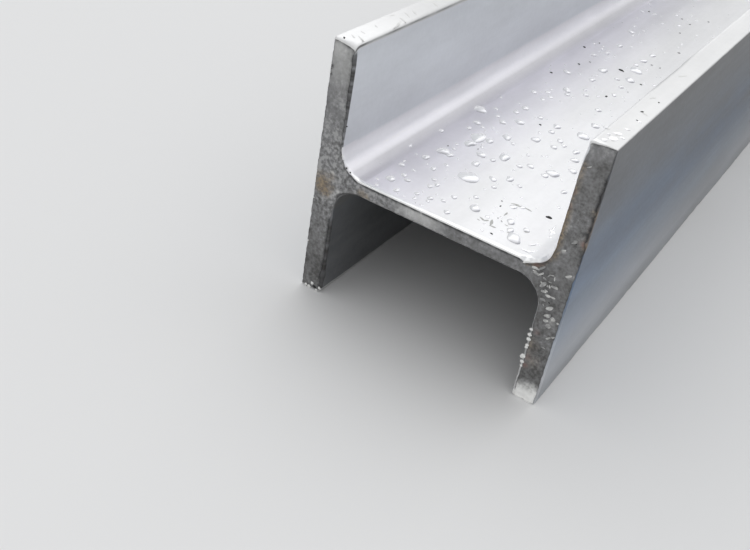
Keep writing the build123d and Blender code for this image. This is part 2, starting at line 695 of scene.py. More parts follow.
# %% Join rings and cuts into one mesh
near_start = starts[-1]
far_start = near_start + len(near_grid)
near_points = np.column_stack([near_x + near_depth, near_grid])
far_points = np.column_stack([far_x - far_depth, far_grid])
vertices = np.concatenate([*rings, near_points, far_points])
vertices[:, 2] += web_level


def renumber(faces, rim_start, rim_count, grid_start):
    """A cut's faces, which count its rim before its strewn points, in the whole mesh's numbers."""
    shifts = (rim_start, grid_start - rim_count)
    return [tuple(i + shifts[i >= rim_count] for i in face) for face in faces]


near_cut = renumber(near_faces, starts[0], len(fine_ring), near_start)
far_cut = renumber(far_faces, starts[-2], len(plain_ring), far_start)
faces = [*skin_faces, *near_cut, *far_cut]

bar_mesh = bpy.data.meshes.new("galvanised_bar")
bar_mesh.from_pydata(vertices.tolist(), [], faces)
bar_mesh.validate()
bar = bpy.data.objects.new("galvanised_bar", bar_mesh)
bpy.context.scene.collection.objects.link(bar)
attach(bar, "root")
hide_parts("rolled_beam")
print("triangles in the bar", sum(len(face) - 2 for face in faces))

# %% [markdown]
# ## Zinc that the rain has washed, with painted shade
#
# One colour can't stand for this finish. Faces that look up are pale, the upright inner faces are
# bluish grey, and the outer faces are dull and dark. That is partly the rain, which washes the faces
# that look up and hardly reaches the outer ones, and partly painted shade and painted reflection,
# lighter where a face turns to the bright sky and darker where it turns away. Painting that by hand
# would need an image. Here every point of the mesh carries a few numbers, such as how clean and how
# lit the zinc is, and the material mixes its colours by them and breaks them up with noise.

# %% Where each point of the mesh lies on the section
every_ring = [plain_ring if len(points) == len(plain_ring) else fine_ring for points in rings]
section_of = np.concatenate([*every_ring, np.zeros((len(near_grid) + len(far_grid), 5))])
across, level = section_of[:, 0] / mm, section_of[:, 1] / mm
normal_y, normal_z, part_of = section_of[:, 2], section_of[:, 3], section_of[:, 4]
along = vertices[:, 0] - near_x
upper, leftward = level > 0, across > 0
left_turn, right_turn = turn_round_root(across, level), turn_round_root(-across, level)
print(sum(upper), "points above the middle of the web")

# %% How light the web and its roots are, with painted reflection and a painted highlight band
beside_root = past(across, 20, 32)
# The web's tones are partly painted reflection of the sky: lightest near the cut and on the right,
# darker towards the left root and farther along the bar.
web_places = [-6, 6, 12, 18, 25, 31, 37]
web_tones = np.interp(across, web_places, [0.86, 0.865, 0.865, 0.85, 0.82, 0.79, 0.74])
painted_reflection_fade = (1 - beside_root) * 0.22 * past(along, 0.02, 0.34)
web_tones *= 1 - painted_reflection_fade - beside_root * 0.15 * past(along, 0.06, 0.5)
web_tones *= 1 - 0.08 * beside_root * past(along, 0.015, 0.03) * before(along, 0.07, 0.13)
web_tones *= 1 + 0.06 * before(along, 0.01, 0.03) * past(across, 8, 24)
web_tones += 0.01 * past(-across, 2, 14) * before(along, 0.3, 0.5)
web_tones *= 1 - 0.03 * past(along, 0.4, 1.5)

# The left root's tones paint a highlight band where the fillet mirrors the bright sky, and the right
# root is painted whiter, a painted highlight as well.
root_angles = [0, 10, 20, 30, 35, 40, 50, 60, 70, 80, 90]
tones_near_cut = [0.67, 0.60, 0.56, 0.60, 0.77, 0.90, 1.0, 0.88, 0.87, 0.79, 0.73]
tones_farther = [0.72, 0.60, 0.52, 0.54, 0.63, 0.73, 0.89, 0.91, 0.88, 0.81, 0.77]
near_tones = np.interp(left_turn, root_angles, tones_near_cut)
far_tones = np.interp(left_turn, root_angles, tones_farther)
root_tones = near_tones + (far_tones - near_tones) * past(along, 0.06, 0.26)
root_tones += 0.07 * past(left_turn, 12, 20) * before(left_turn, 30, 40) * before(along, 0.01, 0.025)
root_tones = np.where(leftward, root_tones, 0.88 + 0.12 * past(right_turn, 15, 45))
print("web", span(web_tones), "clean and its roots", span(root_tones))

# %% How light the flanges and toes are, with painted shade and reflection
# Painted shade: the upright inner faces are darker than the web, and a little darker near the cut
# below the toes.
inner_tones = 0.71 * (1 - 0.09 * before(along, 0.03, 0.08) * before(level, 38, 50))
# The right flange's outer face is painted shade and reflection: darkest near its upper toe, lighter
# towards the lower one, and darker farther from the cut.
outer_levels = [-60, -55, -45, -35, -25, -15, -5, 5, 15, 25, 60]
outer_near_cut = [0.36, 0.38, 0.51, 0.42, 0.36, 0.28, 0.215, 0.165, 0.15, 0.14, 0.13]
darker_farther = [0.06, 0.08, 0.19, 0.15, 0.13, 0.10, 0.09, 0.06, 0.035, 0.03, 0.01]
outer_tones = np.interp(level, outer_levels, outer_near_cut)
outer_tones -= np.interp(level, outer_levels, darker_farther) * past(along, 0.01, 0.22)
outer_tones += 0.03 * past(level, -15, -5) * before(level, 20, 35) * before(along, 0.01, 0.045)

# Painted light: a toe is lighter where it looks up and takes its side's darker tone where it turns
# down. The toes are also lighter near the cut.
left_toe_tones = np.interp(along, [0, 0.02, 0.06, 0.15, 0.4], [0.88, 0.83, 0.67, 0.46, 0.44])
right_toe_tones = np.interp(along, [0, 0.05, 0.1, 0.4], [0.73, 0.72, 0.70, 0.64])
toe_tones = np.where(leftward, left_toe_tones, right_toe_tones)
side_tones = np.where(across < -59, outer_tones, np.where(across > 59, 0.5, 0.65))
toe_tones = side_tones + (toe_tones - side_tones) * np.clip(normal_z, 0, 1)

# The inner arcs of the toes are painted shade and light: a dark line along the left toe, and on the
# right toe a lighter arc with a darker stretch.
toe_arc = (normal_z > 0.1) & (part_of == TOE)
left_toe_edge_shading = toe_arc & leftward & (normal_y < 0) & (normal_z < 0.6)
right_toe_edge_shading = toe_arc & (across < 0) & (normal_y > 0) & (normal_z < 0.999)
edge_shading_noise = rough(vertices[left_toe_edge_shading] / (2.0, 1.0, 1.0), 4 * mm, 37, octaves=2)
edge_shading_tones = np.clip(0.34 + 0.2 * edge_shading_noise, 0.12, 0.6)
toe_tones[left_toe_edge_shading] = edge_shading_tones + 0.2 * past(along[left_toe_edge_shading], 0.08, 0.3)
painted_shade_stretch = past(along, 0.055, 0.07) * before(along, 0.105, 0.13)
toe_tones = np.where(right_toe_edge_shading, 0.80 - 0.24 * painted_shade_stretch, toe_tones)
print(sum(left_toe_edge_shading), "points on the left toe's seam,", sum(right_toe_edge_shading), "on the right one's")

# %% How light, how blue and how violet each point of the skin is, with painted shade and reflection
# Painted shade: the faces under the web are dark.
hidden_tone = 0.22
left_outer_tone = 0.5
wash_and_shade = replaced(
    np.full(len(vertices), hidden_tone),
    ((part_of == INNER) & upper, inner_tones),
    ((part_of == WEB) & upper, web_tones),
    ((part_of == ROOT) & upper, root_tones),
    (part_of == OUTER, np.where(across < 0, outer_tones, left_outer_tone)),
    (part_of == TOE, toe_tones),
)
# On the right flange's outer face the blue is partly the zinc's tint and partly painted reflection of
# bluish surroundings.
blue_levels = [0.15, 0.15, 0.15, 0.25, 0.42, 0.5, 0.75, 0.85, 0.8, 0.5, 0.1]
outer_blues = np.interp(level, outer_levels, blue_levels)
side_blue = 0.12
blue = replaced(
    np.zeros(len(vertices)),
    (part_of == INNER, side_blue),
    (part_of == OUTER, np.where(across < 0, outer_blues, side_blue)),
)
violet = np.interp(across, [0, 20, 37, 44], [0.1, 0.6, 1.0, 0.5]) * upper * (part_of <= ROOT)
violet *= 1 - 0.5 * past(along, 0.2, 0.6)
print("skin", span(wash_and_shade), "clean_and_lit")

# %% [markdown]
# ## Stains and painted shade on the saw cut
#
# The sawn face has rust round both roots, soot with painted shade along its broken edge and round the
# lumps, and pale crusts of zinc. An image could carry them, but it would need to be painted and
# unwrapped. Here each stain or shadow is a soft spot or line between places that the photograph
# shows, and it is added to the numbers that the points near it carry. The mesh is fine enough there
# for stains of a millimetre.

# %% Stains, painted shadows and dark places on the near cut
# The soot spots and lines are partly soot and partly painted shadow round the lumps, under the lip and
# in the pits.
soot_and_shadow_spots = [
    (345.5, 169.0, 1.2, 0.8), (349.5, 172.5, 1.0, 0.6), (353.5, 176.5, 1.0, 0.6),
    (313.5, 287.5, 1.4, 1.0), (331.5, 66, 1.4, 1.0), (330.3, 74, 1.3, 0.9), (584.3, 234.8, 1.4, 0.6),
    (575.5, 244.7, 1.2, 0.6), (564.4, 249, 1.2, 0.6), (541, 272, 4.0, 0.45), (546, 293, 5.0, 0.4),
    (549, 316, 4.0, 0.4), (313, 262, 9.0, 0.25), (535, 352, 4.0, 0.3), (559, 330, 5.0, 0.2),
]
soot_and_shadow_lines = [
    ([(522, 261), (529, 265), (541, 265), (549, 262)], 0.8, 0.45),
    ([(336, 198), (338, 194.5), (349, 194.5)], 0.8, 0.5),
]
rust_spots = [
    (320, 179, 6.0, 0.7), (323.5, 187, 6.0, 0.8), (325, 193, 4.0, 0.5), (318, 186, 4.0, 0.4),
    (330, 177, 4.0, 0.4), (331, 189, 3.0, 0.35), (361, 194.5, 3.4, 0.75), (366, 198, 2.6, 0.55),
    (536, 265, 2.6, 0.5), (586, 247, 2.4, 0.5), (594.5, 214, 2.4, 0.6), (596, 221, 2.4, 0.7),
    (528, 345, 6.0, 0.45), (532, 362, 5.0, 0.30),
]
rust_lines = [
    ([(583, 165), (577, 182), (567, 210)], 2.6, 0.6),
    ([(567, 210), (557, 243), (553, 256)], 3.0, 1.0),
    ([(600, 212), (597, 222), (592, 233), (585, 250)], 2.4, 0.7),
    ([(526, 264.5), (541, 265.5), (551, 260)], 1.2, 0.7),
]
red_spots = [
    (584, 245.5, 2.6, 0.9), (591, 231, 2.0, 0.5), (536, 333, 2.2, 0.45), (526.5, 357, 2.6, 0.45),
    (524, 365.5, 2.4, 0.75), (535, 265.5, 1.8, 0.6), (542, 264.5, 1.5, 0.5), (537, 264.8, 2.0, 0.6),
    (573, 192, 2.2, 0.45), (568, 207, 2.2, 0.45),
]
pale_spots = [
    (332, 173, 1.2, 0.5), (337, 192.5, 1.2, 0.5), (581, 242, 3.0, 0.12), (405, 208, 9.0, 0.22),
    (417, 214, 9.0, 0.30), (430, 221, 9.0, 0.30), (343, 66, 16.0, 0.25), (338, 45, 8.0, 0.25),
    (563, 252, 1.3, 0.5), (575, 243, 1.2, 0.4), (568.5, 278, 1.4, 0.22), (305, 240, 3.0, 0.15),
    (325, 272, 2.4, 0.3), (550, 323, 3.0, 0.2),
]
pale_lines = [
    ([(591, 143), (586, 152), (581, 164), (575.5, 181)], 1.0, 0.6),
    ([(317.5, 196), (325, 198.7), (336, 193.9), (345, 192.6), (354, 194)], 0.9, 0.2),
    ([(364, 199.5), (372, 203.5), (378, 207)], 0.9, 0.4),
    ([(413, 228), (427, 233)], 1.0, 0.6),
]
tip_level, tip_start = on_cut(525, 378)[1], on_cut(525, 394)[1]
stain_and_shade_reach = 1.6 * mm
ring_x = vertices[: starts[-1], 0]
ring_places = np.concatenate(rings)[:, 1:]
past_cut = np.clip(1 - (ring_x - near_x - cut_recess) / stain_and_shade_reach, 0, 1) * (ring_x < near_x + 6 * mm)
print(sum(past_cut > 0), "points of the skin are near enough to the cut to be stained")


# %% Helpers for stains and painted shade
def spread(per_ring):
    """One number for each point of the rings, from one list or value for each ring."""
    pairs = zip(per_ring, rings, strict=True)
    return np.concatenate([np.broadcast_to(values, len(points)) for values, points in pairs])


def over_cut(values, fading):
    """Numbers for the strewn points of the near cut, from the nearest point of its outline."""
    nearest = [np.argmin(np.sum((near_outline - point) ** 2, axis=1)) for point in near_grid]
    away = np.linalg.norm(near_grid - near_outline[nearest], axis=1)
    return np.asarray(values)[nearest] * before(away, 0, fading)


def whole_mesh(on_rings, on_near_cut):
    """One number for each point of the mesh. The far cut, which comes last, has none."""
    return np.clip(np.concatenate([on_rings, on_near_cut, np.zeros(len(far_grid))]), 0, 1)


def stains_and_shade(spot_list, line_list=()):
    """Stains and painted shade on all rings, fading away from the near cut, and on the cut's strewn
    points.
    """
    on_rings = np.zeros(len(ring_places))
    chosen = ring_places[past_cut > 0]
    on_rings[past_cut > 0] = spots(chosen, spot_list) + soft_lines(chosen, line_list)
    return on_rings * past_cut, spots(near_grid, spot_list) + soft_lines(near_grid, line_list)


def silver_tip(points):
    """Bare bright zinc on the lowest tip of the right flange, streaked along the flange."""
    streaky = points / (1.0, 3.0)
    ragged = points[:, 1] + 2.0 * mm * rough(lifted(streaky), 2.2 * mm, 61)
    return past(-ragged, -tip_level, -tip_start) * (points[:, 0] < 0)


def cut_tones(points):
    """How much lighter or darker the steel of the near cut is than its average."""
    y, z = points[:, 0] / mm, points[:, 1] / mm
    right = past(-y, 36, 46)
    left = y > 40
    tones = 0.1 * left * past(z, 0, 20) - 0.1 * left * past(z, 28, 46) - 0.05 * left * past(z, 44, 50)
    tones -= left * (0.06 * past(-z, 0, 6) + 0.12 * past(-z, 12, 32) + 0.13 * past(-z, 30, 46))
    tones -= right * (0.15 + 0.09 * past(-z, 5, 30) + 0.06 * past(z, 34, 46) - 0.55 * past(z, 51, 57))
    return tones - 0.08 * right * past(z, -22, -12) * before(z, -4, 4)


# %% What the near cut's points carry
# The soot numbers hold soot and painted shade, the rim numbers a painted highlight.
soot_and_shade_rings, soot_and_shade_cut = stains_and_shade(soot_and_shadow_spots, soot_and_shadow_lines)
soot_and_shade_beside_edge = over_cut(1.35 * edge_soot_and_shade, fading=1.4 * mm)
soot_and_shade = whole_mesh(spread(ring_soots_and_shades) + soot_and_shade_rings, soot_and_shade_beside_edge + soot_and_shade_cut)
rust = whole_mesh(*stains_and_shade(rust_spots, rust_lines))
red = whole_mesh(*stains_and_shade(red_spots))
pale = whole_mesh(*stains_and_shade(pale_spots, pale_lines))
silver = whole_mesh(silver_tip(ring_places) * past_cut, silver_tip(near_grid))
rim_highlight = whole_mesh(spread(ring_highlights), np.zeros(len(near_grid))) * (1 - soot_and_shade)

every_place = np.concatenate([ring_places, near_grid, far_grid])
from_root = np.hypot((every_place[:, 0] - 50 * mm) / 1.6, every_place[:, 1])
gritty = 0.2 + 0.8 * before(from_root, 8 * mm, 34 * mm)
tone = cut_tones(every_place) + 0.16 * gritty

carried = {"wash_and_shade": wash_and_shade, "blue": blue, "violet": violet, "tone": tone, "rim_highlight": rim_highlight, "soot_and_shade": soot_and_shade}
carried |= {"rust": rust, "red": red, "pale": pale, "silver": silver, "gritty": gritty}
for name, values in carried.items():
    layer = bar_mesh.attributes.new(name, "FLOAT", "POINT")
    layer.data.foreach_set("value", np.ascontiguousarray(values, dtype=np.float32))
    print(name, span(values))
bar_mesh.shade_smooth()
face_slots = np.zeros(len(faces), dtype=np.int32)
face_slots[len(skin_faces) :] = 1
bar_mesh.polygons.foreach_set("material_index", face_slots)

# %% [markdown]
# ## The zinc's material
#
# Satin zinc is a metal under a thin dull film, and it mirrors the sky softly. Two shaders could be
# laid over each other for that. Here one is enough, about half metallic, with a grey that follows
# how clean each point is and the shade and reflection painted into that number. The blue, the
# violet, the stains, the soot with its painted shade and the rim's painted highlight are mixed over
# it in turn, and noise of three sizes breaks up every face. The helpers build such trees in a few
# lines, because the other materials use them too.


# %% Helpers for materials
def read(tree, name):
    """The output of a number that the mesh's points carry."""
    return add_node(tree, "ShaderNodeAttribute", attribute_name=name).outputs["Fac"]


def place_in(tree, stretch=(1, 1, 1)):
    """Places on the object in metres, stretched along its axes."""
    where = add_node(tree, "ShaderNodeTexCoord")
    scaled = add_node(tree, "ShaderNodeMapping", {"Scale": stretch})
    tree.links.new(where.outputs["Object"], scaled.inputs["Vector"])
    return scaled.outputs["Vector"]


def grain(tree, vector, size, detail=3.0, roughness=0.55):
    """Noise whose bumps are about one size in metres across."""
    sockets = {"Scale": 1 / size, "Detail": detail, "Roughness": roughness}
    made = add_node(tree, "ShaderNodeTexNoise", sockets)
    tree.links.new(vector, made.inputs["Vector"])
    return made.outputs["Fac"]


def ramp(tree, value, stops):
    """Colours along a value, as (place, colour) pairs."""
    made = add_node(tree, "ShaderNodeValToRGB")
    elements = made.color_ramp.elements
    while len(elements) < len(stops):
        elements.new(0.5)
    for element, (place, colour) in zip(elements, stops, strict=True):
        element.position = place
        element.color = (*colour, 1)
    tree.links.new(value, made.inputs["Fac"])
    return made.outputs["Color"]


def mixed(tree, share, first, second, **properties):
    """The first colour where the share is 0, and the second, or a blend with it, where it is 1."""
    made = add_node(tree, "ShaderNodeMix", data_type="RGBA", **properties)
    colour_inputs = [socket for socket in made.inputs if socket.type == "RGBA"]
    tree.links.new(share, made.inputs["Factor"])
    tree.links.new(first, colour_inputs[0])
    if isinstance(second, tuple):
        colour_inputs[1].default_value = (*second, 1)
    else:
        tree.links.new(second, colour_inputs[1])
    return next(socket for socket in made.outputs if socket.type == "RGBA")


def bump(tree, shader, height_value, strength, depth):
    """Fine relief for a shader, too small for the mesh. Depth is in metres."""
    made = add_node(tree, "ShaderNodeBump", {"Strength": strength, "Distance": depth})
    tree.links.new(height_value, made.inputs["Height"])
    tree.links.new(made.outputs["Normal"], shader.inputs["Normal"])


# %% Zinc
zinc, tree, shader = new_material("washed_and_shaded_zinc")
everywhere = place_in(tree)
cloudy = grain(tree, place_in(tree, (0.3, 1, 1)), 18 * mm)
spangle = grain(tree, everywhere, 2.2 * mm, detail=2.0)
streaks = grain(tree, place_in(tree, (0.02, 1, 1)), 3 * mm, detail=2.0)
# These numbers are the zinc's cleanness with painted shade and painted reflection in them.
clean_and_lit = read(tree, "wash_and_shade")
for uneven, swing in ((cloudy, 0.05), (spangle, 0.012), (streaks, 0.01)):
    clean_and_lit = calculate(tree, "ADD", clean_and_lit, remap(tree, uneven, 0.3, 0.7, -swing, swing))
colour = ramp(tree, clean_and_lit, [(0.0, (0, 0, 0)), (1.0, (1, 1, 1))])
colour = mixed(tree, read(tree, "blue"), colour, (0.66, 0.92, 1.35), blend_type="MULTIPLY")
colour = mixed(tree, read(tree, "violet"), colour, (0.99, 0.965, 1.05), blend_type="MULTIPLY")
# Rust is a stain, the soot is soot with painted shade, and the rim's white is a painted highlight.
overlays = {"rust": (0.26, 0.20, 0.15), "soot_and_shade": (0.04, 0.038, 0.036), "rim_highlight": (1.0, 1.0, 1.0)}
for name, overlay_colour in overlays.items():
    colour = mixed(tree, read(tree, name), colour, overlay_colour)
tree.links.new(colour, shader.inputs["Base Color"])
bright_metal = remap(tree, read(tree, "rim_highlight"), 0, 1, 0.42, 0.9)
without_soot_and_shade = remap(tree, read(tree, "soot_and_shade"), 0, 1, 1.0, 0.1)
bright_metal = calculate(tree, "MULTIPLY", bright_metal, without_soot_and_shade)
tree.links.new(bright_metal, shader.inputs["Metallic"])
smoother_rim = remap(tree, read(tree, "rim_highlight"), 0, 1, 1, 0.7)
dullness = calculate(tree, "MULTIPLY", remap(tree, cloudy, 0.3, 0.7, 0.36, 0.46), smoother_rim)
tree.links.new(dullness, shader.inputs["Roughness"])
bump(tree, shader, calculate(tree, "ADD", spangle, streaks), 0.25, 0.02 * mm)
bar_mesh.materials.append(zinc)
print("zinc from", len(tree.nodes), "nodes")

# %% [markdown]
# ## Sawn steel
#
# The cut is bare steel that was dipped with the rest: a dark grey skin of zinc over torn grain,
# with a few rust stains and pale crusts. It is less even than the rolled faces, so its noise is
# finer and stronger.

# %% The sawn faces' material
sawn, tree, shader = new_material("sawn_steel")
everywhere = place_in(tree)
torn = grain(tree, everywhere, 1.3 * mm, detail=4.0, roughness=0.62)
patches = grain(tree, everywhere, 6 * mm, detail=3.0)
contrast = remap(tree, grain(tree, everywhere, 25 * mm), 0.35, 0.65, 0.55, 1.0)
mottle = calculate(tree, "MULTIPLY", remap(tree, torn, 0.25, 0.75, -0.45, 0.45), contrast)
steel_tone = calculate(tree, "ADD", mottle, remap(tree, patches, 0.25, 0.75, 0.18, 0.82))
steel_tone = calculate(tree, "ADD", steel_tone, read(tree, "tone"))
speckle = grain(tree, everywhere, 1.5 * mm, detail=3.0, roughness=0.5)
speckle = remap(tree, speckle, 0.32, 0.68, -0.4, 0.4)
speckle = calculate(tree, "MULTIPLY", speckle, read(tree, "gritty"))
steel_tone = calculate(tree, "ADD", steel_tone, speckle)
steel_colours = [
    (0.0, (0.105, 0.103, 0.10)),
    (0.35, (0.19, 0.19, 0.19)),
    (0.65, (0.255, 0.255, 0.26)),
    (1.0, (0.40, 0.40, 0.40)),
]
colour = ramp(tree, steel_tone, steel_colours)
colour = mixed(tree, read(tree, "pale"), colour, (0.97, 0.97, 0.95))

silver_share = read(tree, "silver")
rest_share = calculate(tree, "SUBTRACT", 1.0, silver_share)
unsure = calculate(tree, "MULTIPLY", calculate(tree, "MULTIPLY", silver_share, rest_share), 0.7)
broken = calculate(tree, "MULTIPLY", unsure, remap(tree, torn, 0.3, 0.7, -1.0, 1.0))
silver_share = calculate(tree, "ADD", silver_share, broken)
colour = mixed(tree, silver_share, colour, (1.0, 1.0, 0.98))
rust_colour = ramp(tree, torn, [(0.32, (0.12, 0.09, 0.065)), (0.68, (0.38, 0.31, 0.22))])
patchy_rust = calculate(tree, "MULTIPLY", read(tree, "rust"), remap(tree, torn, 0.35, 0.6, 0.45, 1.2))
colour = mixed(tree, patchy_rust, colour, rust_colour)
patchy_red = calculate(tree, "MULTIPLY", read(tree, "red"), remap(tree, torn, 0.35, 0.6, 0.4, 1.0))
colour = mixed(tree, patchy_red, colour, (0.26, 0.14, 0.12))
# Soot and painted shade along the broken edge and round the lumps.
colour = mixed(tree, read(tree, "soot_and_shade"), colour, (0.045, 0.045, 0.047))
tree.links.new(colour, shader.inputs["Base Color"])
tree.links.new(remap(tree, silver_share, 0, 1, 0.35, 0.0), shader.inputs["Metallic"])
shader.inputs["Roughness"].default_value = 0.5
bump(tree, shader, torn, 0.5, 0.2 * mm)
bar_mesh.materials.append(sawn)
print("sawn steel from", len(tree.nodes), "nodes")

# %% [markdown]
# ## Rain, beads of zinc and grit
#
# Rain stands on the web as flat round drops, frozen beads of zinc hang on the saw cut, and grit
# lies about. They are many small things of one family: a low cap with an uneven outline. Instances
# of one drop would all look alike, so one function makes every cap with an outline of its own and
# joins them into one mesh. The drops near the cut stand where the photograph shows them, and the
# others are scattered.


# %% Helpers for caps
def caps(places, segments, shares, sink, unevenness, seed, fullness=0.6, lean=(0, 0)):
    """Closed low caps in one list of points (u, v, height) and faces.

    Each place is (u, v, half length, half width, turn, height), and shares are the rings' shares of
    its radius. A cap with a fullness of 1 is as flat at its edge as a lens, and one with less is
    rounder there. A lean moves its top, as shares of its half width.
    """
    random = np.random.default_rng(seed)
    around = np.linspace(0, 2 * math.pi, segments, endpoint=False)
    sides = [(i, (i + 1) % segments) for i in range(segments)]
    points, faces = [], []
    for u, v, half_long, half_wide, angle, cap_height in places:
        phase = random.uniform(0, 2 * math.pi, 3)
        size = unevenness * random.uniform(0.5, 1.0, 3) / (1.0, 1.3, 2.0)
        edge = 1 + sum(size[k] * np.cos((k + 2) * around + phase[k]) for k in range(3))
        long, wide = half_long * edge * np.cos(around), half_wide * edge * np.sin(around)
        u_edge = long * math.cos(angle) - wide * math.sin(angle)
        v_edge = long * math.sin(angle) + wide * math.cos(angle)
        rows = [np.column_stack([u + u_edge, v + v_edge, np.full(segments, -sink)])]
        for share in (*shares, 0):
            slip_u, slip_v = (half_wide * (1 - share * share) * part for part in lean)
            u_row, v_row = u + slip_u + u_edge * share, v + slip_v + v_edge * share
            top = np.full(segments, cap_height * (1 - share * share) ** fullness)
            rows.append(np.column_stack([u_row, v_row, top]))

        first = sum(len(part) for part in points)
        last = first + len(shares) * segments
        points.append(np.concatenate([*rows[:-1], rows[-1][:1]]))
        for a in range(first, last, segments):
            b = a + segments
            faces += [(a + i, a + j, b + j, b + i) for i, j in sides]
        faces += [(last + i, last + j, last + segments) for i, j in sides]
        faces.append(tuple(first + i for i in reversed(range(segments))))
    return np.concatenate(points), faces


def stroke(start, end, half_wide, past_ends, cap_height):
    """The place of a long cap from one point to another and a little past both."""
    middle, run = np.add(start, end) / 2, np.subtract(end, start)
    half_long = math.hypot(*run) / 2 + past_ends
    return (*middle, half_long, half_wide, math.atan2(run[1], run[0]), cap_height)


def joined(points, faces, more_points, more_faces):
    """Two lists of points and their faces as one."""
    moved = [tuple(len(points) + i for i in face) for face in more_faces]
    return np.concatenate([points, more_points]), [*faces, *moved]


def add_piece(name, points, faces, material):
    """A joined piece that rides with the bar."""
    mesh = bpy.data.meshes.new(name)
    mesh.from_pydata(points.tolist(), [], faces)
    mesh.validate()
    mesh.shade_smooth()
    mesh.materials.append(material)
    piece = bpy.data.objects.new(name, mesh)
    bpy.context.scene.collection.objects.link(piece)
    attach(piece, "root")
    print(name, "has", sum(len(face) - 2 for face in faces), "triangles")


# %% Helpers for caps on the web and the toes
sunk = 0.12 * mm
web_top = web_level + web_z
toe_top = web_level + toe_z


def on_web(px, py, width=1.0, level=web_top):
    """The place (x, y) of a level face seen at a pixel, and a width in pixels there, in metres."""
    point = on_plane((px, py), (0, 0, level), (0, 0, 1))
    depth = (point - camera_place).dot(sight)
    return point.x, point.y, width * depth / focal_pixels


def laid_on(level, points, faces):
    """Caps on a level face, as points of the bar's frame that follow the relief of the face."""
    above_web = np.column_stack([points[:, :2], np.full(len(points), level - web_level)])
    depth = relief(above_web) + toe_lowering(above_web[:, 2])
    return points + np.column_stack([np.zeros((len(points), 2)), level - depth]), faces


def chips(spots_seen, level):
    """Small uneven grains at pixels of a level face."""
    made = []
    for px, py, width in spots_seen:
        x, y, wide = on_web(px, py, width, level)
        made.append((x, y, 0.62 * wide, 0.42 * wide, bead_draw.uniform(0, math.pi), 0.16 * wide))
    return made


def strokes(lines, thickness, level):
    """Long low caps between pairs of pixels on a level face, each with a width in pixels."""
    made = []
    for px0, py0, px1, py1, width in lines:
        x0, y0, wide = on_web(px0, py0, 1.35 * width, level)
        x1, y1, _ = on_web(px1, py1, level=level)
        made.append(stroke((x0, y0), (x1, y1), wide / 2, wide / 4, thickness))
    return made


# %% Helpers for caps on the near cut
cut_scale = (camera_place - Vector((near_x, 0, web_level))).length / focal_pixels
torn_x = near_x + cut_recess + 0.1 * mm


def set_on_cut(points, faces):
    """Caps on the near cut, in the bar's frame. They point towards -X, so their faces are turned."""
    placed = np.column_stack([torn_x - points[:, 2], points[:, 0], points[:, 1] + web_level])
    return placed, [face[::-1] for face in faces]


def stroke_on_cut(px0, py0, px1, py1, width, height_share=0.6):
    """A long cap on the near cut between two pixels, with a width in pixels."""
    half_wide = width * cut_scale / 2
    cap_height = min(height_share * half_wide, 0.4 * mm)
    return stroke(on_cut(px0, py0), on_cut(px1, py1), half_wide, half_wide / 2, cap_height)


# %% [markdown]
# ## Water
#
# A drop shows the pale zinc under it with a bright spot on one side and a dark one on the other.
# Glass would bend the light in the same way, but it needs many samples to look clean. Here a drop
# is partly a mirror, and its colour is darker where its skin leans away from the bright patch of
# the sky.

# %% Water
shaded_side = (-0.64, -0.77)
water, tree, shader = new_material("rain_water")
outward = add_node(tree, "ShaderNodeNewGeometry").outputs["Normal"]
shade = remap(tree, facing(tree, outward, (*shaded_side, 0)), -1, 1, 0, 1)
water_colours = [
    (0.50, (1.0, 1.0, 1.0)),
    (0.58, (0.94, 0.94, 0.96)),
    (0.68, (0.84, 0.84, 0.87)),
    (0.82, (0.60, 0.60, 0.63)),
]
tree.links.new(ramp(tree, shade, water_colours), shader.inputs["Base Color"])
shader.inputs["Metallic"].default_value = 0.42
shader.inputs["Roughness"].default_value = 0.2
print("water from", len(tree.nodes), "nodes")

